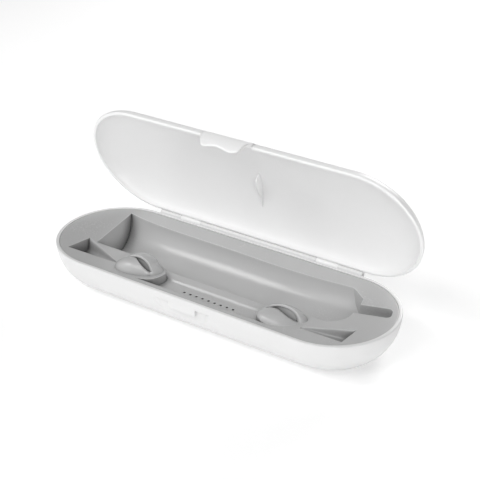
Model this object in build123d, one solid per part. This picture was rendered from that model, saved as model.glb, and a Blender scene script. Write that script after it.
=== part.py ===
from build123d import *
import math
import os

# Electric toothbrush travel case: a deep white base shell with a moulded grey
# insert, and a domed white lid on a long knuckle hinge, shown with the lid
# open.  Millimetres.  +Z up, +X along the length, +Y towards the hinge.
# Origin: centre of the flat underside of the base.

# ------------------------------------------------------------------ sizes
# plan outline of both shells: two parallel sides and round ends
HALF_STRAIGHT = 77.0      # half length of the straight sides
HALF_WIDTH = 40.0         # outer half width, and radius of the round ends
RIM_Z = 27.0              # height of the base rim
BASE_FLAT = 17.0          # half width of the flat underside
BASE_WALL = 2.2
LID_GAP = 0.2             # daylight between the two rims when closed
LID_RISE = 16.0           # height of the lid dome above its rim
LID_FLAT = 2.0
LID_WALL = 2.2            # at the rim
LID_ROOF = 2.0            # at the crown
RIM_ROUND = 0.9           # outer rounding of both rims
RIM_ROUND_IN = 0.4

# hinge
HINGE_Y = 41.25
HINGE_Z = 26.86
KNUCKLE_R = 2.0
KNUCKLE_CUT_R = 2.2       # room cut in the other shell for a knuckle
PIN_R = 0.8
BASE_BORE_R = 0.82
LID_BORE_R = 0.88
HINGE_HALF = 74.5
KNUCKLE_GAP = 0.2
LID_KNUCKLE_X0, LID_KNUCKLE_X1 = 43.0, 58.0   # each of the lid's two knuckles
HINGE_PIN_LEN = 48.0
OPEN_DEG = 71.7           # lid opening in the modelled pose
CLASP_OUT_DEG = 14.0      # clasp tilt away from the engaged position in that pose

# latch, in closed-lid coordinates
LATCH_LEFT, LATCH_RIGHT = -21.0, 12.0
LATCH_PIVOT_Y, LATCH_PIVOT_Z = -38.1, 30.2
LATCH_BARREL_R = 1.6
LATCH_PIN_R = 0.6
LATCH_BORE_R = 0.66
LATCH_SIDE_GAP = 0.35
LATCH_TOP_Z = 32.3        # top of the cut-out in the lid's front wall

# catch on the base front
CATCH_LEFT, CATCH_RIGHT = -9.6, 9.4
CATCH_TOP_Z, CATCH_LOW_Z = 22.6, 18.15
CATCH_FACE_Y = -39.75

# insert tray
TRAY_Z = 26.4             # top face of the insert
TRAY_PLATE = 1.6
TRAY_WALL = 1.5
TRAY_HALF_WIDTH = 37.62
# handle cradle: at each x the front and back edge at the top face, and how far
# the centre of the round section lies above that face
CRADLE_ROWS = [
    (-98.0, -12.9, 29.8, 3.2),
    (-84.0, -13.1, 27.8, 3.2),
    (-70.0, -13.2, 25.9, 3.2),
    (-52.0, -13.35, 25.0, 3.2),
    (-26.0, -13.5, 24.7, 3.2),
    (4.0, -13.6, 24.1, 3.2),
    (28.0, -13.7, 23.4, 3.2),
    (46.0, -13.8, 23.8, 3.4),
    (60.0, -13.85, 24.6, 3.9),
    (72.0, -13.9, 25.8, 4.5),
    (84.0, -13.9, 26.4, 4.8),
    (98.0, -13.9, 26.6, 4.8),
]
RIDGE_Z = 22.6            # crest between the cradle and the front shelf
SHELF_Z = 20.8            # floor of the front shelf
DRAIN_R = 0.8
DRAIN_N = 9
DRAIN_X0, DRAIN_PITCH, DRAIN_Y = -8.8, 4.33, -24.6

os.makedirs("parts", exist_ok=True)


# ---------------------------------------------------------------- helpers
def capsule_from_profile(profile):
    """A profile to the +X side of the Z axis, carried round a stadium of
    straight half length HALF_STRAIGHT: two half turns and two straight runs."""
    half = Plane.XZ * profile                       # local y -> world z
    side = Rot(0, 0, -90) * half                    # now on the -Y side
    end = revolve(side, Axis.Z, 180)                # -Y round through +X to +Y
    right = Pos(HALF_STRAIGHT, 0, 0) * end
    left = Pos(-HALF_STRAIGHT, 0, 0) * (Rot(0, 0, 180) * end)
    run = extrude(Pos(-HALF_STRAIGHT, 0, 0) * side, amount=2 * HALF_STRAIGHT, dir=(1, 0, 0))
    run2 = mirror(run, Plane.XZ)
    return right + left + run + run2


def ellipse_pt(cx, cz, a, b, deg):
    t = math.radians(deg)
    return (cx + a * math.cos(t), cz + b * math.sin(t))


def shell_profile(zr, sign, flat_o, depth_o, flat_i, depth_i, wall, r_out, r_in):
    """Section of a shell wall from its rim at height zr to the middle.
    sign -1: bowl below the rim, +1: dome above it."""
    ao = HALF_WIDTH - flat_o
    hi = HALF_WIDTH - wall
    ai = hi - flat_i
    # angle on each ellipse where the rim rounding starts
    to = math.degrees(math.asin(r_out / depth_o))
    ti = math.degrees(math.asin(r_in / depth_i))
    po = ellipse_pt(flat_o, zr, ao, depth_o, sign * to)
    pi_ = ellipse_pt(flat_i, zr, ai, depth_i, sign * ti)
    top_o = (HALF_WIDTH - r_out, zr)
    top_i = (hi + r_in, zr)
    zo = zr + sign * depth_o
    zi = zr + sign * depth_i
    c45 = math.sqrt(0.5)
    mid_o = (HALF_WIDTH - r_out + r_out * c45, zr + sign * (r_out - r_out * c45))
    mid_i = (hi + r_in - r_in * c45, zr + sign * (r_in - r_in * c45))
    if sign < 0:
        arc_o = EllipticalCenterArc((flat_o, zr), ao, depth_o, 270, arc_size=90 - to)
        arc_i = EllipticalCenterArc((flat_i, zr), ai, depth_i, 270, arc_size=90 - ti)
    else:
        arc_o = EllipticalCenterArc((flat_o, zr), ao, depth_o, to, arc_size=90 - to)
        arc_i = EllipticalCenterArc((flat_i, zr), ai, depth_i, ti, arc_size=90 - ti)
    edges = [
        arc_o,
        ThreePointArc(po, mid_o, top_o),
        Line(top_o, top_i),
        ThreePointArc(top_i, mid_i, pi_),
        arc_i,
        Line((flat_i, zi), (0, zi)),
        Line((0, zi), (0, zo)),
        Line((0, zo), (flat_o, zo)),
    ]
    return make_face(edges)


def solid_profile(zr, sign, flat, depth, half_width):
    """Section of the solid bounded by one shell surface."""
    a = half_width - flat
    z1 = zr + sign * depth
    if sign < 0:
        arc = EllipticalCenterArc((flat, zr), a, depth, 270, arc_size=90)
    else:
        arc = EllipticalCenterArc((flat, zr), a, depth, 0, arc_size=90)
    return make_face([arc, Line((half_width, zr), (0, zr)), Line((0, zr), (0, z1)), Line((0, z1), (flat, z1))])


def stadium_prism(half_width, z0, z1):
    sk = Rectangle(2 * HALF_STRAIGHT, 2 * half_width)
    sk += Pos(HALF_STRAIGHT, 0) * Circle(half_width)
    sk += Pos(-HALF_STRAIGHT, 0) * Circle(half_width)
    return extrude(Pos(0, 0, z0) * sk, amount=z1 - z0)


def yz_prism(points, x0, x1):
    """Prism along X of a polygon given as (y, z) points."""
    wire = Polyline(*[(x0, y, z) for y, z in points], close=True)
    return extrude(make_face(wire), amount=x1 - x0, dir=(1, 0, 0))


def xy_prism(points, z0, z1):
    wire = Polyline(*[(x, y, z0) for x, y in points], close=True)
    return extrude(make_face(wire), amount=z1 - z0, dir=(0, 0, 1))


def x_cyl(y, z, r, x0, x1):
    return Pos((x0 + x1) / 2, y, z) * (Rot(0, 90, 0) * Cylinder(r, x1 - x0))


def bar(p0, p1, r0, r1=None):
    """Round bar or cone frustum from p0 to p1."""
    p0, p1 = Vector(*p0), Vector(*p1)
    d = p1 - p0
    pl = Plane(origin=p0, z_dir=d.normalized())
    if r1 is None or abs(r1 - r0) < 1e-6:
        return pl * Cylinder(r0, d.length, align=(Align.CENTER, Align.CENTER, Align.MIN))
    return pl * Cone(r0, r1, d.length, align=(Align.CENTER, Align.CENTER, Align.MIN))


def one(shape, name):
    s = shape.solids()
    if len(s) != 1:
        s = sorted(s, key=lambda q: -q.volume)
        print(name, "solids", len(s), [round(q.volume, 2) for q in s])
    return s[0]


def open_lid(shape):
    return shape.rotate(Axis((0, HINGE_Y, HINGE_Z), (1, 0, 0)), -OPEN_DEG)


# knuckle spans along the hinge
lid_spans = [(-LID_KNUCKLE_X1, -LID_KNUCKLE_X0), (LID_KNUCKLE_X0, LID_KNUCKLE_X1)]
base_spans = [
    (-HINGE_HALF, -LID_KNUCKLE_X1 - KNUCKLE_GAP),
    (-LID_KNUCKLE_X0 + KNUCKLE_GAP, LID_KNUCKLE_X0 - KNUCKLE_GAP),
    (LID_KNUCKLE_X1 + KNUCKLE_GAP, HINGE_HALF),
]

# ------------------------------------------------------------- base shell
base = capsule_from_profile(
    shell_profile(RIM_Z, -1, BASE_FLAT, RIM_Z, BASE_FLAT, RIM_Z - BASE_WALL, BASE_WALL, RIM_ROUND, RIM_ROUND_IN)
)
base_outer = capsule_from_profile(solid_profile(RIM_Z, -1, BASE_FLAT, RIM_Z, HALF_WIDTH))
base_inner = capsule_from_profile(
    solid_profile(RIM_Z, -1, BASE_FLAT, RIM_Z - BASE_WALL, HALF_WIDTH - BASE_WALL)
)

# shelf blocks on the inside of the wall that carry the insert's plate
for sx, sy in ((-74, 1), (-25, 1), (25, 1), (74, 1), (-74, -1), (-52, -1), (64, -1), (80, -1)):
    rib = Pos(sx, sy * 36.9, 20.9) * Box(3.0, 3.6, 7.4)
    base += rib & base_outer
for s in (-1, 1):
    rib = Pos(s * (HALF_STRAIGHT + 36.9), 0, 20.9) * Box(3.6, 3.0, 7.4)
    base += rib & base_outer

# finger scoops to both sides of the catch, in the front wall
scoop = yz_prism([(-46, 22.4), (-38.25, 22.4), (-36.95, 13.4), (-46, 13.4)], -24, 22)
scoop &= xy_prism([(-26, -46), (-23.5, -40.6), (-13.5, -36.2), (12.0, -36.2), (21.5, -40.6), (24, -46)], 10, 26)
pad = yz_prism([(-38.6, 24.6), (-36.1, 23.2), (-35.1, 13.0), (-35.6, 10.5), (-38.6, 10.5)], -25, 23)
base += pad & base_outer
base -= scoop

# catch block between the scoops
catch = yz_prism(
    [(-37.6, CATCH_TOP_Z + 1.2), (-39.62, CATCH_TOP_Z + 1.2), (CATCH_FACE_Y, CATCH_TOP_Z), (CATCH_FACE_Y, CATCH_LOW_Z), (-37.4, CATCH_LOW_Z)],
    CATCH_LEFT, CATCH_RIGHT)
base += catch

# hinge: webs and barrels on the back wall, room for the lid's knuckles
for x0, x1 in base_spans:
    base += yz_prism([(38.9, HINGE_Z), (43.25, HINGE_Z), (43.25, 25.4), (39.4, 19.2), (38.4, 19.2)], x0, x1)
for x0, x1 in lid_spans:
    base -= x_cyl(HINGE_Y, HINGE_Z, KNUCKLE_CUT_R, x0 - KNUCKLE_GAP, x1 + KNUCKLE_GAP)
for x0, x1 in base_spans:
    base += x_cyl(HINGE_Y, HINGE_Z, KNUCKLE_R, x0, x1)
base -= x_cyl(HINGE_Y, HINGE_Z, BASE_BORE_R, -HINGE_HALF - 1, HINGE_HALF + 1)
base = one(base, "base_shell")
export_step(base, "parts/base_shell.step")

# ------------------------------------------------------------- lid shell
LID_Z = RIM_Z + LID_GAP
lid = capsule_from_profile(
    shell_profile(LID_Z, 1, LID_FLAT, LID_RISE, LID_FLAT - 0.2, LID_RISE - LID_ROOF, LID_WALL, RIM_ROUND, RIM_ROUND_IN)
)
lid_outer = capsule_from_profile(solid_profile(LID_Z, 1, LID_FLAT, LID_RISE, HALF_WIDTH))

# cut-out for the latch, with a boss for its pin at each side
lid += (x_cyl(LATCH_PIVOT_Y, LATCH_PIVOT_Z, 1.75, LATCH_LEFT - 3.4, LATCH_LEFT) & lid_outer)
lid += (x_cyl(LATCH_PIVOT_Y, LATCH_PIVOT_Z, 1.75, LATCH_RIGHT, LATCH_RIGHT + 3.4) & lid_outer)
lid -= Pos((LATCH_LEFT + LATCH_RIGHT) / 2, -39.5, (LID_Z - 1 + LATCH_TOP_Z) / 2) * Box(
    LATCH_RIGHT - LATCH_LEFT, 9.0, LATCH_TOP_Z - LID_Z + 1)
lid -= x_cyl(LATCH_PIVOT_Y, LATCH_PIVOT_Z, LATCH_PIN_R + 0.01, LATCH_LEFT - 2.6, LATCH_RIGHT + 2.6)

# hinge side
for x0, x1 in lid_spans:
    lid += yz_prism([(38.4, 27.5), (39.2, 27.3), (39.6, HINGE_Z), (43.25, HINGE_Z), (43.25, 28.0), (38.3, 31.8), (37.2, 31.8), (38.0, 28.2)], x0, x1)
for x0, x1 in base_spans:
    lid -= x_cyl(HINGE_Y, HINGE_Z, KNUCKLE_CUT_R, x0 - KNUCKLE_GAP, x1 + KNUCKLE_GAP)
for x0, x1 in lid_spans:
    lid += x_cyl(HINGE_Y, HINGE_Z, KNUCKLE_R, x0, x1)
lid -= x_cyl(HINGE_Y, HINGE_Z, LID_BORE_R, -HINGE_HALF - 1, HINGE_HALF + 1)

# hold-down fin in the middle of the lid, pressing on the handle when closed
fin_rows = [  # y, z of the free edge, half thickness at the free edge and at the root, x
    (-4.6, 40.7, 0.35, 0.45, 1.4),
    (-1.4, 37.0, 0.5, 0.9, 1.2),
    (2.4, 36.3, 0.5, 1.2, 1.1),
    (6.2, 36.6, 0.5, 1.3, 1.0),
    (12.2, 38.6, 0.4, 0.9, 0.7),
    (22.0, 38.6, 0.25, 0.35, 0.3),
]


def fin_section(y, zt, ht, hr, x):
    zr = 41.9 - (max(0.0, abs(y) - 1.8) / 36.0) ** 2 * 8.0
    pts = [(x - ht, y, zt), (x + ht, y, zt), (x + hr, y, zr), (x - hr, y, zr)]
    return make_face(Polyline(*pts, close=True))


fin = loft([fin_section(*row) for row in fin_rows], ruled=True)
lid += fin & lid_outer
lid = one(lid, "lid_shell")
export_step(open_lid(lid), "parts/lid_shell.step")

# ------------------------------------------------------------- latch
tab_outer = [
    (LATCH_PIVOT_Y + 0.1, 31.75), (-39.5, 31.0), (-40.7, 29.2), (-41.55, 27.0), (-41.95, 24.3), (-42.0, 22.2),
    (-41.8, 20.2), (-41.35, 18.5), (-40.65, 16.7), (-39.9, 14.9),
]
tab_inner = [
    (-39.9, 14.9), (-39.35, 14.9), (-39.15, 16.6), (-39.25, 17.5), (-40.1, 17.85), (-40.35, 18.6), (-40.4, 24.5),
    (-40.1, 26.3), (-39.3, 28.0), (LATCH_PIVOT_Y + 0.1, 28.7), (LATCH_PIVOT_Y + 0.1, 31.75),
]
TAB_X0, TAB_X1 = LATCH_LEFT + LATCH_SIDE_GAP, LATCH_RIGHT - LATCH_SIDE_GAP
tab_face = make_face([
    Spline(*[(TAB_X0, y, z) for y, z in tab_outer]),
    *[Line((TAB_X0, *a), (TAB_X0, *b)) for a, b in zip(tab_inner, tab_inner[1:])],
])
tab = extrude(tab_face, amount=TAB_X1 - TAB_X0, dir=(1, 0, 0))
tab += x_cyl(LATCH_PIVOT_Y, LATCH_PIVOT_Z, LATCH_BARREL_R, LATCH_LEFT + LATCH_SIDE_GAP, LATCH_RIGHT - LATCH_SIDE_GAP)
# outline seen from the front: sides drawn in, lower edge waved for the fingertip
XL, XR = LATCH_LEFT + LATCH_SIDE_GAP, LATCH_RIGHT - LATCH_SIDE_GAP
low = Spline((-15.6, 0, 15.7), (-13.4, 0, 14.9), (-10.9, 0, 15.8), (-8.5, 0, 16.7), (-6.4, 0, 17.0), (-4.3, 0, 16.9),
             (-1.4, 0, 16.3), (1.6, 0, 15.6), (3.9, 0, 15.2), (5.8, 0, 15.4), (7.8, 0, 16.4), (9.5, 0, 17.9))
outline = [
    Line((XL, 0, 33), (XL, 0, 25.0)),
    Spline((XL, 0, 25.0), (-19.6, 0, 21.8), (-17.4, 0, 18.0), (-15.6, 0, 15.7)),
    low,
    Spline((9.5, 0, 17.9), (10.0, 0, 20.5), (10.5, 0, 24.0), (XR, 0, 27.4)),
    Line((XR, 0, 27.4), (XR, 0, 33)),
    Line((XR, 0, 33), (XL, 0, 33)),
]
mask = extrude(Pos(0, -46, 0) * make_face(outline), amount=12, dir=(0, 1, 0))
tab &= mask
tab -= x_cyl(LATCH_PIVOT_Y, LATCH_PIVOT_Z, LATCH_BORE_R, LATCH_LEFT - 1, LATCH_RIGHT + 1)
tab = one(tab, "latch_tab")
tab = tab.rotate(Axis((0, LATCH_PIVOT_Y, LATCH_PIVOT_Z), (1, 0, 0)), -CLASP_OUT_DEG)
export_step(open_lid(tab), "parts/latch_tab.step")

latch_pin = x_cyl(LATCH_PIVOT_Y, LATCH_PIVOT_Z, LATCH_PIN_R, LATCH_LEFT - 2.5, LATCH_RIGHT + 2.5)
export_step(open_lid(latch_pin), "parts/latch_pin.step")

# ------------------------------------------------------------- hinge pins
pin_l = x_cyl(HINGE_Y, HINGE_Z, PIN_R, -HINGE_HALF + 0.5, -HINGE_HALF + 0.5 + HINGE_PIN_LEN)
pin_r = x_cyl(HINGE_Y, HINGE_Z, PIN_R, HINGE_HALF - 0.5 - HINGE_PIN_LEN, HINGE_HALF - 0.5)
export_step(pin_l, "parts/hinge_pin_left.step")
export_step(pin_r, "parts/hinge_pin_right.step")

# ------------------------------------------------------------- insert tray
BELOW = Pos(0, 0, TRAY_Z - 30) * Box(300, 120, 60)       # everything below the top face


def ellipsoid(cx, cy, cz, a, b, c, rz=0.0, tilt=0.0):
    """Ellipsoid turned by rz about Z, its +X end dipped by tilt."""
    s = Rot(90, 0, 0) * scale(Sphere(1.0), by=(a, c, b))
    return Pos(cx, cy, cz) * (Rot(0, 0, rz) * (Rot(0, tilt, 0) * s))


# handle cradle: a round trough that swells a little towards both ends, square
# at the left end, rounded at the right end
def cradle_section(x, yf, yb, up, off):
    w = (yb - yf) / 2
    cy = (yb + yf) / 2
    cz = TRAY_Z + up
    r = math.hypot(w, up) + off
    zt = TRAY_Z + 2.0
    wt = math.sqrt(r * r - (cz - zt) ** 2)
    arc = ThreePointArc((x, cy - wt, zt), (x, cy, cz - r), (x, cy + wt, zt))
    return make_face([arc, Line((x, cy + wt, zt), (x, cy - wt, zt))])


END_DRAFT_L, END_DRAFT_R = 0.16, 0.2   # lean of the cradle's end walls, mm per mm of depth


def cradle_plan(off, depth):
    """Plan outline that ends the cradle at a depth below the top face, grown
    by off; both end walls lean in with depth."""
    lx0, ly0 = -90.35, 29.0
    lx1, ly1 = -84.9, -12.5
    ux, uy = (lx1 - lx0), (ly1 - ly0)
    ul = math.hypot(ux, uy)
    ux, uy = ux / ul, uy / ul
    a = (lx0 - ux * 12 - off, ly0 - uy * 12)
    b = (lx1 + ux * 12 - off, ly1 + uy * 12)
    pts = [a, (74.0 + 0.4 * off, a[1]), (74.0 + 0.4 * off, 27.4 + off), (76.6 + 0.6 * off, 26.0 + 0.8 * off),
           (78.8 + 0.7 * off, 24.7 + 0.7 * off), (87.2 + off, 18.5 + 0.3 * off), (88.2 + off, 14.6), (89.4 + off, 10.0),
           (89.6 + off, -0.5)]
    cx, cy, r = 76.0, -0.5, 13.6 + off
    n = 12
    for k in range(1, n):
        t = math.radians(-k * 90 / n)
        pts.append((cx + r * math.cos(t), cy + r * math.sin(t)))
    pts += [(76.0, b[1]), b]
    out = []
    for x, y in pts:
        if x < 0:
            x += END_DRAFT_L * depth
        elif x > 73.9:
            x -= END_DRAFT_R * depth
        out.append((x, y))
    return out


def cradle(off):
    body = loft([cradle_section(*row, off) for row in CRADLE_ROWS])
    deep = [(x, y, TRAY_Z - 20) for x, y in cradle_plan(off, 20.0)]
    high = [(x, y, TRAY_Z + 2) for x, y in cradle_plan(off, -2.0)]
    ends = loft([make_face(Polyline(*deep, close=True)), make_face(Polyline(*high, close=True))], ruled=True)
    return body & ends


# groove for the brush shaft, running on from the cradle's right end
SH_A = (85.04, 6.02)
SH_DEG = 16.5
SH_LEN = 24.4
SH_W = 9.6
SH_DEPTH = 8.2


def shaft(off):
    w = SH_W / 2 + off
    sk = Rectangle(SH_LEN + off, 2 * w, align=(Align.MIN, Align.CENTER))
    pr = extrude(Pos(0, 0, TRAY_Z - SH_DEPTH + SH_W / 2) * sk, amount=SH_DEPTH)
    end_edges = pr.edges().filter_by(Axis.Z).group_by(Axis.X)[-1]
    pr = fillet(end_edges, 3.2 + off * 0.5)
    low_r = w
    cyl = Pos(0, 0, TRAY_Z - SH_DEPTH + SH_W / 2) * (Rot(0, 90, 0) * (Rot(0, 0, 180) * Cylinder(low_r, SH_LEN + off - 3.0, align=(Align.CENTER, Align.CENTER, Align.MIN))))
    ball = Pos(SH_LEN + off - 3.0, 0, TRAY_Z - SH_DEPTH + SH_W / 2) * (Rot(90, 0, 0) * scale(Sphere(1.0), by=(3.0, low_r, low_r)))
    g = pr + cyl + ball
    return Pos(SH_A[0], SH_A[1], 0) * (Rot(0, 0, SH_DEG) * g)


def scoop_face(p_front, p_back, depth, lip, off):
    """Section of a scoop in the upright plane through two plan points: steep
    at the front edge, round below, and a rounded lip of width lip at the back."""
    fx, fy = p_front
    bx, by = p_back
    w = math.hypot(bx - fx, by - fy)
    ex, ey = (bx - fx) / w, (by - fy) / w
    d = depth

    def at(s_, z_):
        return (fx + ex * s_, fy + ey * s_, TRAY_Z + z_)

    prof = [(0.0, 0.0), (0.1 * w, -0.3 * d), (0.3 * w, -0.68 * d), (0.55 * w, -0.95 * d), (0.74 * w, -1.0 * d),
            (0.88 * w, -0.86 * d), (0.96 * w, -0.5 * d), (w, -0.75 * lip), (w + 0.3 * lip, -0.2 * lip), (w + lip, 0.0)]
    if off:
        prof = [(-off, 0.0), (0.1 * w - 0.8 * off, -0.3 * d - 0.6 * off), (0.3 * w - 0.6 * off, -0.68 * d - 0.8 * off),
                (0.55 * w - 0.3 * off, -0.95 * d - off), (0.74 * w, -1.0 * d - off), (0.88 * w + 0.6 * off, -0.86 * d - 0.8 * off),
                (0.96 * w + off, -0.5 * d - 0.4 * off), (w + off, -0.75 * lip - 0.4 * off), (w + 0.3 * lip + off, -0.2 * lip - 0.3 * off),
                (w + lip + off, 0.0)]
    pts = [at(*q) for q in prof]
    z_end = prof[-1][1]
    curve = Spline(*pts)
    up = 2.0
    return make_face([
        Line(at(prof[0][0], up), pts[0]), curve, Line(pts[-1], at(prof[-1][0], up)), Line(at(prof[-1][0], up), at(prof[0][0], up)),
    ])


def head_recess(side, off):
    """Tapered scoop for a brush head: wide and deep at the outer end."""
    if side < 0:
        rows = [((-96.0, -27.3), (-92.2, -11.7), 9.4, 1.5), ((-59.0, -26.6), (-58.4, -25.6), 0.4, 0.2)]
    else:
        rows = [((98.2, -27.0), (99.6, -12.4), 8.0, 1.3), ((72.2, -27.4), (72.2, -26.4), 0.4, 0.2)]
    faces = []
    for i, (f, b, d, lip) in enumerate(rows):
        k = off * (side if i == 0 else -side)
        faces.append(scoop_face((f[0] + k, f[1]), (b[0] + k, b[1]), d, lip, off))
    return loft(faces, ruled=True)


# domes that hold the foot of each brush head, with a crescent slot across
# each has a taller hood at the back, open towards the front along a leaning
# plane, a lower lobe in front of it, and a slot between the two
DOMES = [
    {   # x, y, drop below the top face, three half axes, turn, tilt
        "hood": (-42.23, -23.48, 0.62, 11.69, 12.16, 9.25, 20.3, 0.0),
        "lobe": (-42.0, -24.6, 1.1, 15.5, 7.95, 8.3, 18.0, 3.0),
        "plane": -25.2,
        "slot": (-37.7, 6.6, 2.5),
    },
    {
        "hood": (58.84, -20.87, 3.0, 14.33, 6.2, 9.58, 6.9, 0.0),
        "lobe": (59.6, -23.3, 3.6, 16.6, 9.5, 7.1, 22.0, 14.0),
        "plane": -21.6,
        "slot": (61.4, 7.4, 2.5),
    },
]
LEAN_N = Vector(0, 0.932, -0.362).normalized()
LEAN_Z0 = 27.0


def lean_point(x, z, k):
    return Vector(x, (k + 0.362 * (z - LEAN_Z0)) / 0.932, z)


def lean_slab(x, k0, k1, half, z0, z1):
    """Leaning box between the planes k0 and k1."""
    pts = []
    for z, k in ((z0, k0), (z1, k0), (z1, k1), (z0, k1)):
        p = lean_point(0, z, k)
        pts.append((p.Y, p.Z))
    return yz_prism(pts, x - half, x + half)


def dome_part(q, off):
    x, y, drop, a, b, c, rz, tilt = q
    return ellipsoid(x, y, TRAY_Z - drop, a + off, b + off, c + off, rz, tilt)


def dome(d, off):
    hood = dome_part(d["hood"], off) & lean_slab(d["hood"][0], d["plane"] - off, 40.0, 30.0, TRAY_Z - 20, TRAY_Z + 20)
    return hood + dome_part(d["lobe"], off)


def dome_slot(d, off):
    """Crescent pocket in front of the hood's leaning face: straight along
    that face, bowed towards the lobe, and running up out of the dome."""
    xm, half, bow = d["slot"]
    r = (half * half + bow * bow) / (2 * bow)
    p = lean_point(0, TRAY_Z - 3.0 - off, d["plane"])
    pl = Plane(origin=p, x_dir=(1, 0, 0), z_dir=Vector(0, 0.362, 0.932).normalized())
    sk = Pos(xm, r - bow) * Circle(r + off)
    sk &= Pos(xm, 0.05 + off - 20) * Rectangle(60, 40)
    return extrude(pl * sk, amount=16.0 + off)


POCKET = 1.4              # depth of the pocket in each hood's leaning face
POCKET_RIM = 1.1          # width of the rim left round it


def hood_pocket(d):
    face = lean_slab(d["hood"][0], d["plane"] - 0.3, d["plane"] + POCKET, 30.0, TRAY_Z - 0.6, TRAY_Z + 20)
    return dome_part(d["hood"], -POCKET_RIM) & face


# lowered front shelf between the domes, and the ridge behind it
shelf_pts_l = [(-38.5, -34.0), (-34.5, -33.5), (-31.0, -32.0), (-28.2, -29.6), (-26.6, -26.6), (-25.8, -23.4), (-25.6, -20.6)]
shelf_pts_r = [(43.4, -20.6), (42.9, -22.8), (42.8, -25.0), (43.4, -27.4), (44.8, -29.8), (47.2, -32.0), (50.4, -33.5), (53.6, -34.0)]
RIDGE_PROFILE = [(-20.62, 20.8), (-20.4, 20.8), (-19.5, 21.0), (-18.8, 21.5), (-18.2, 22.1), (-17.5, 22.48), (-16.6, 22.6), (-8.0, 22.6)]


def shelf(off):
    lo = [(x - off, y - (off if y < -33.9 else 0)) for x, y in shelf_pts_l]
    hi = [(x + off, y - (off if y < -33.9 else 0)) for x, y in shelf_pts_r]
    return xy_prism(lo + hi[:], SHELF_Z - off, TRAY_Z + 6)


def ridge_cut(off):
    """Room over the ridge; its crest is rounded towards the shelf, and the
    top face runs down to it at both ends."""
    prof = [(y, z - off) for y, z in RIDGE_PROFILE] + [(-8.0, TRAY_Z + 6), (-20.62, TRAY_Z + 6)]
    body = yz_prism(prof, -50 , 60)
    low = [(-25.6 - off, -21.0), (-25.8 - off, -19.4), (-27.4 - off, -17.0), (-29.6 - off, -14.9), (-31.5 - off, -8.0),
           (47.5 + off, -8.0), (46.2 + off, -14.9), (45.2 + off, -17.0), (44.2 + off, -19.4), (43.4 + off, -21.0)]
    high = [(-25.6 - off, -21.0), (-26.2 - off, -19.4), (-29.4 - off, -17.2), (-34.2 - off, -14.2), (-38.0 - off, -8.0),
            (51.0 + off, -8.0), (48.4 + off, -14.2), (46.0 + off, -17.2), (44.4 + off, -19.4), (43.4 + off, -21.0)]
    w0 = make_face(Polyline(*[(x, y, RIDGE_Z - off) for x, y in low], close=True))
    w1 = make_face(Polyline(*[(x, y, TRAY_Z) for x, y in high], close=True))
    ramp = loft([w0, w1], ruled=True)
    below = extrude(w0, amount=3.0, dir=(0, 0, -1))
    above = extrude(w1, amount=6.0, dir=(0, 0, 1))
    return body & (ramp + below + above)


plate = stadium_prism(TRAY_HALF_WIDTH, TRAY_Z - TRAY_PLATE, TRAY_Z)
tray = plate
tray += cradle(TRAY_WALL) & BELOW
tray += shaft(TRAY_WALL) & BELOW
tray += head_recess(-1, TRAY_WALL) & BELOW
tray += head_recess(1, TRAY_WALL) & BELOW
tray += shelf(TRAY_WALL) & BELOW
tray += ridge_cut(TRAY_WALL) & BELOW
for d in DOMES:
    tray += dome(d, 0.0) & Pos(0, 0, TRAY_Z + 14) * Box(300, 120, 31)
    tray += dome_slot(d, TRAY_WALL) & BELOW
# hollow under each dome, clear of its slot and of the cradle
for d in DOMES:
    hollow = dome_part(d["hood"], -TRAY_WALL) & lean_slab(d["hood"][0], d["plane"] + POCKET + TRAY_WALL, 40.0, 30.0, TRAY_Z - 20, TRAY_Z + 20)
    web = lean_slab(d["hood"][0], d["plane"] - TRAY_WALL, d["plane"] + POCKET + TRAY_WALL, 30.0, TRAY_Z - 20, TRAY_Z + 20)
    hollow += dome_part(d["lobe"], -TRAY_WALL) - web
    hollow &= Pos(0, 0, TRAY_Z - 2.2 + 15) * Box(300, 120, 30)
    tray -= hollow - dome_slot(d, TRAY_WALL) - cradle(TRAY_WALL)
for d in DOMES:
    tray -= dome_slot(d, 0.0)
    tray -= hood_pocket(d)
cut = cradle(0.0)
tray -= cut
tray -= shaft(0.0)
tray -= head_recess(-1, 0.0)
tray -= head_recess(1, 0.0)
tray -= shelf(0.0)
tray -= ridge_cut(0.0)
for i in range(DRAIN_N):
    tray -= Pos(DRAIN_X0 + i * DRAIN_PITCH, DRAIN_Y, SHELF_Z - 3) * Cylinder(DRAIN_R, 8)
tray = one(tray, "insert_tray")
export_step(tray, "parts/insert_tray.step")

print("closed height", round(LID_Z + LID_RISE, 2), "length", 2 * (HALF_STRAIGHT + HALF_WIDTH))
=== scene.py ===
import math

import bpy
from mathutils import Matrix, Vector


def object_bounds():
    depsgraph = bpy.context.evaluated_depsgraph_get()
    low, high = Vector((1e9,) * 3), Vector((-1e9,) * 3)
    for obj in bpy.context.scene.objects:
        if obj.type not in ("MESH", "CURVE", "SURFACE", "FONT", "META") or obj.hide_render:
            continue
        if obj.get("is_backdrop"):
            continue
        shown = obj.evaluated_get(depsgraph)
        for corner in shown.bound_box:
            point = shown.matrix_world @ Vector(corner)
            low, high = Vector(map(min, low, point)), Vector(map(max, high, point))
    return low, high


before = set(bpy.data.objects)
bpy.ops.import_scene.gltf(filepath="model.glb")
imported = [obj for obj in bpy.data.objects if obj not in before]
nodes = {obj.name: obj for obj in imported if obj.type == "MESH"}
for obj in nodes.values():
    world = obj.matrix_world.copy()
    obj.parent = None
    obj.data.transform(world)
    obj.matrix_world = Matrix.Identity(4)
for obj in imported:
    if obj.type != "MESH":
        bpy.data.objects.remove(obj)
start_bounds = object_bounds()


def plain(v):
    try:
        return float(v)
    except TypeError:
        return [plain(x) for x in v]


scene = bpy.context.scene


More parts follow.
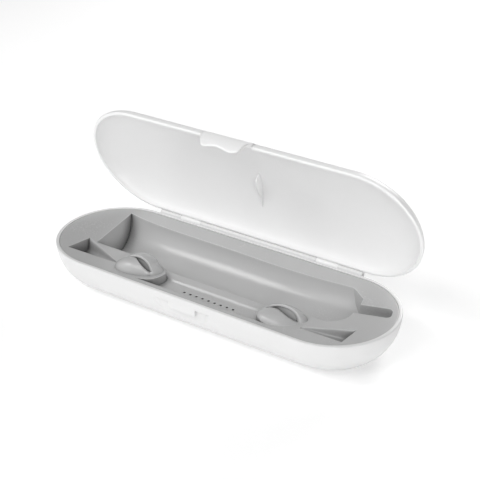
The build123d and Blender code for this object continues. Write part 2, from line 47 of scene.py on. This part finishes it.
# ---------------------------------------------------------------- materials
class Tree:
    """Short hand for wiring a shader tree."""

    def __init__(self, name):
        self.mat = bpy.data.materials.new(name)
        self.mat.use_nodes = True
        self.nt = self.mat.node_tree
        self.nt.nodes.clear()
        self.x = 0

    def node(self, kind, inputs=None, **props):
        n = self.nt.nodes.new(kind)
        n.location = (self.x, 0)
        self.x += 180
        for k, v in props.items():
            setattr(n, k, v)
        for k, v in (inputs or {}).items():
            if isinstance(v, bpy.types.NodeSocket):
                self.nt.links.new(v, n.inputs[k])
            else:
                n.inputs[k].default_value = v
        return n

    def math(self, op, a, b=None, clamp=False):
        ins = {0: a}
        if b is not None:
            ins[1] = b
        return self.node("ShaderNodeMath", ins, operation=op, use_clamp=clamp).outputs[0]

    def ramp(self, fac, stops, interp="LINEAR"):
        n = self.node("ShaderNodeValToRGB", {0: fac})
        n.color_ramp.interpolation = interp
        els = n.color_ramp.elements
        while len(els) > 1:
            els.remove(els[-1])
        els[0].position = stops[0][0]
        els[0].color = stops[0][1]
        for p, c in stops[1:]:
            e = els.new(p)
            e.color = c
        return n.outputs[0]

    def map_range(self, v, a, b, c, d, clamp=True):
        n = self.node("ShaderNodeMapRange", {0: v, 1: a, 2: b, 3: c, 4: d}, clamp=clamp)
        return n.outputs[0]

    def mix(self, fac, a, b, blend="MIX"):
        n = self.node("ShaderNodeMix", data_type="RGBA", blend_type=blend, clamp_factor=True)
        for idx, v in ((0, fac), (6, a), (7, b)):
            if isinstance(v, bpy.types.NodeSocket):
                self.nt.links.new(v, n.inputs[idx])
            else:
                n.inputs[idx].default_value = v
        return n.outputs[2]


def grey(v, a=1.0):
    return (v, v, v, a)


def moulded_plastic(name, tone, rough, spec, speck, shade, shade_mm, own, crease_painted_shade, bevel_mm, painted_highlight_amount, top_z=0.0):
    """Injection moulded plastic: faint flow marks, fine satin grain, a few dust specks, painted shade that darkens the
    colour in pockets and creases, and a painted highlight that lightens the colour along edges."""
    t = Tree(name)
    co = t.node("ShaderNodeTexCoord").outputs["Object"]
    flow = t.node("ShaderNodeTexNoise", {"Vector": co, "Scale": 26.0, "Detail": 2.0, "Roughness": 0.5}).outputs["Fac"]
    grain = t.node("ShaderNodeTexNoise", {"Vector": co, "Scale": 1500.0, "Detail": 2.0, "Roughness": 0.6}).outputs["Fac"]
    dust = t.node("ShaderNodeTexVoronoi", {"Vector": co, "Scale": 300.0}, feature="F1").outputs["Distance"]
    rare = t.node("ShaderNodeTexNoise", {"Vector": co, "Scale": 80.0, "Detail": 1.0}).outputs["Fac"]
    base = t.mix(t.map_range(flow, 0.35, 0.65, 0.0, 1.0), grey(tone), grey(tone * 0.975))
    base = t.mix(t.map_range(grain, 0.3, 0.7, 0.0, 1.0), base, grey(tone * 0.985))
    spot = t.math("MULTIPLY", t.map_range(dust, 0.0, 0.05, 1.0, 0.0), t.map_range(rare, 0.63, 0.66, 0.0, speck))
    base = t.mix(spot, base, (tone * 0.87, tone * 0.865, tone * 0.85, 1))
    edge = t.node("ShaderNodeBevel", {"Radius": bevel_mm / 1000.0}, samples=8).outputs["Normal"]
    flat = t.node("ShaderNodeNewGeometry").outputs["Normal"]
    turn = t.node("ShaderNodeVectorMath", {0: edge, 1: flat}, operation="DOT_PRODUCT").outputs["Value"]
    # edge mask for the painted highlight that lightens the colour of edges below
    rim = t.map_range(turn, 0.995, 0.80, 0.0, 1.0)
    # painted shade: ambient occlusion darkens the colour in pockets, creases and corners; with own False it also
    # darkens the colour near the floor
    ao = t.node("ShaderNodeAmbientOcclusion", {"Distance": shade_mm / 1000.0}, samples=12, only_local=own).outputs["AO"]
    painted_shade = t.map_range(ao, 0.10, 0.85, shade, 1.0)
    near = t.node("ShaderNodeAmbientOcclusion", {"Distance": 0.0025}, samples=12, only_local=True).outputs["AO"]
    painted_shade = t.math("MULTIPLY", painted_shade, t.map_range(near, 0.15, 0.75, crease_painted_shade, 1.0))
    painted_shade = t.math("MAXIMUM", painted_shade, 0.2)
    if top_z:
        # painted shade is weakened in what stands above the top face and towards the right
        # end, and strengthened in the corner at the cradle's left end
        xyz = t.node("ShaderNodeSeparateXYZ", {0: co})
        keep = t.map_range(xyz.outputs[2], top_z, top_z + 0.0006, 1.0, 0.85)
        keep = t.math("MULTIPLY", keep, t.map_range(xyz.outputs[0], 0.035, 0.085, 1.0, 0.72))
        left = t.map_range(xyz.outputs[0], -0.083, -0.072, 1.0, 0.0)
        left = t.math("MULTIPLY", left, t.map_range(xyz.outputs[1], -0.014, -0.010, 0.0, 1.0))
        keep = t.math("ADD", keep, t.math("MULTIPLY", left, 0.45))
        painted_shade = t.math("SUBTRACT", 1.0, t.math("MULTIPLY", t.math("SUBTRACT", 1.0, painted_shade), keep))
        painted_shade = t.math("MAXIMUM", painted_shade, 0.15)
    painted_shade_rgb = t.node("ShaderNodeCombineColor", {0: painted_shade, 1: painted_shade, 2: painted_shade}).outputs[0]
    base = t.mix(1.0, base, painted_shade_rgb, "MULTIPLY")
    # painted highlight: edges are lightened towards a brighter tone where they are not occluded
    lift = min(1.0, tone * (1.0 + painted_highlight_amount))
    base = t.mix(t.math("MULTIPLY", rim, t.map_range(ao, 0.6, 0.9, 0.0, 1.0)), base, grey(lift))
    r = t.math("ADD", t.map_range(grain, 0.3, 0.7, rough - 0.02, rough + 0.02), t.map_range(flow, 0.3, 0.7, -0.015, 0.015))
    bump = t.node("ShaderNodeBump", {"Strength": 0.05, "Distance": 0.00002, "Height": grain, "Normal": edge}).outputs["Normal"]
    ins = {"Base Color": base, "Roughness": r, "Normal": bump, "Specular IOR Level": spec}
    bsdf = t.node("ShaderNodeBsdfPrincipled", ins)
    t.node("ShaderNodeOutputMaterial", {0: bsdf.outputs[0]})
    return t.mat


def drawn_wire(name):
    t = Tree(name)
    co = t.node("ShaderNodeTexCoord").outputs["Object"]
    m = t.node("ShaderNodeMapping", {"Vector": co, "Scale": (30.0, 4000.0, 4000.0)}).outputs[0]
    streak = t.node("ShaderNodeTexNoise", {"Vector": m, "Scale": 1.0, "Detail": 4.0}).outputs["Fac"]
    base = t.mix(streak, (0.46, 0.46, 0.47, 1), (0.62, 0.62, 0.63, 1))
    r = t.map_range(streak, 0.3, 0.7, 0.22, 0.42)
    bump = t.node("ShaderNodeBump", {"Strength": 0.2, "Distance": 0.00002, "Height": streak}).outputs["Normal"]
    bsdf = t.node("ShaderNodeBsdfPrincipled", {"Base Color": base, "Metallic": 1.0, "Roughness": r, "Normal": bump})
    t.node("ShaderNodeOutputMaterial", {0: bsdf.outputs[0]})
    return t.mat


# one white plastic: the base's lower tone is painted shade and the latch's higher tone is painted light, set to how
# brightly each part is lit
white_base = moulded_plastic("white_base", 0.775, 0.34, 0.5, 0.5, 0.78, 18.0, False, 0.85, 0.5, 0.12)
white_lid = moulded_plastic("white_lid", 0.885, 0.36, 0.45, 0.5, 0.82, 7.0, True, 0.85, 0.6, 0.05)
white_latch = moulded_plastic("white_latch", 0.955, 0.34, 0.5, 0.4, 0.88, 4.0, True, 0.85, 1.8, 0.06)
grey_mat = moulded_plastic("grey_insert", 0.482, 0.25, 0.58, 0.3, 0.28, 13.0, True, 0.30, 0.9, 0.46, 0.0266)
steel = drawn_wire("pin_steel")

for name, mat in (
    ("base_shell", white_base),
    ("lid_shell", white_lid),
    ("latch_tab", white_latch),
    ("insert_tray", grey_mat),
    ("latch_pin", steel),
    ("hinge_pin_left", steel),
    ("hinge_pin_right", steel),
):
    o = nodes[name]
    o.data.materials.clear()
    o.data.materials.append(mat)

# ---------------------------------------------------------------- floor
bpy.ops.mesh.primitive_plane_add(size=6.0, location=(0, 0, 0))
floor = bpy.context.object
floor.name = "floor"
fm = Tree("floor_sweep")
fco = fm.node("ShaderNodeTexCoord").outputs["Object"]
fn = fm.node("ShaderNodeTexNoise", {"Vector": fco, "Scale": 6.0, "Detail": 2.0}).outputs["Fac"]
fb = fm.node(
    "ShaderNodeBsdfPrincipled",
    {
        "Base Color": fm.mix(fn, grey(0.935), grey(0.95)),
        "Roughness": 0.9,
        "Specular IOR Level": 0.0,
        "Emission Color": (1, 1, 1, 1),
        "Emission Strength": 0.25,
    },
)
fm.node("ShaderNodeOutputMaterial", {0: fb.outputs[0]})
floor.data.materials.append(fm.mat)
floor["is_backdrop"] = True

# ---------------------------------------------------------------- light
world = bpy.data.worlds.new("studio")
scene.world = world
world.use_nodes = True
bg = world.node_tree.nodes["Background"]
bg.inputs[0].default_value = (1, 1, 1, 1)
bg.inputs[1].default_value = 0.14


def softbox(name, azimuth, elevation, size, power, distance=1.1):
    """A square softbox on a sphere round the case, aimed at its middle."""
    a, e = math.radians(azimuth), math.radians(elevation)
    p = Vector((math.cos(e) * math.cos(a), math.cos(e) * math.sin(a), math.sin(e))) * distance
    d = bpy.data.lights.new(name, "AREA")
    d.energy = power
    d.size = size
    o = bpy.data.objects.new(name, d)
    scene.collection.objects.link(o)
    o.location = p
    o.rotation_euler = (-p).to_track_quat("-Z", "Y").to_euler()
    return o


softbox("key_low", -130, 25, 0.9, 1.0)
softbox("key_high", -137, 48, 0.28, 2.0)
softbox("left_fill", -150, 30, 0.9, 1.6)
softbox("front_high", -90, 50, 0.5, 2.5)
softbox("right_fill", -50, 25, 0.5, 4.2)
softbox("top", 0, 90, 0.6, 0.6)
softbox("rear", 90, 27, 0.5, 6.3)

# ---------------------------------------------------------------- camera
cam_data = bpy.data.cameras.new("photo_view")
cam = bpy.data.objects.new("photo_view", cam_data)
scene.collection.objects.link(cam)
right = Vector((0.83275899, 0.55356645, -0.00875566))
up = Vector((-0.26425373, 0.41132838, 0.87234106))
back = Vector((0.48650019, -0.72413614, 0.4888194))
m = Matrix.Identity(4)
for i in range(3):
    m[i][0] = right[i]
    m[i][1] = up[i]
    m[i][2] = back[i]
m[0][3], m[1][3], m[2][3] = 0.342986, -0.488889, 0.381776
cam.matrix_world = m
cam_data.sensor_width = 36.0
cam_data.lens = 86.906
cam_data.clip_start = 0.01
scene.camera = cam

scene.view_settings.view_transform = "Standard"

end_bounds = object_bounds()
{"start": plain(start_bounds), "end": plain(end_bounds)}
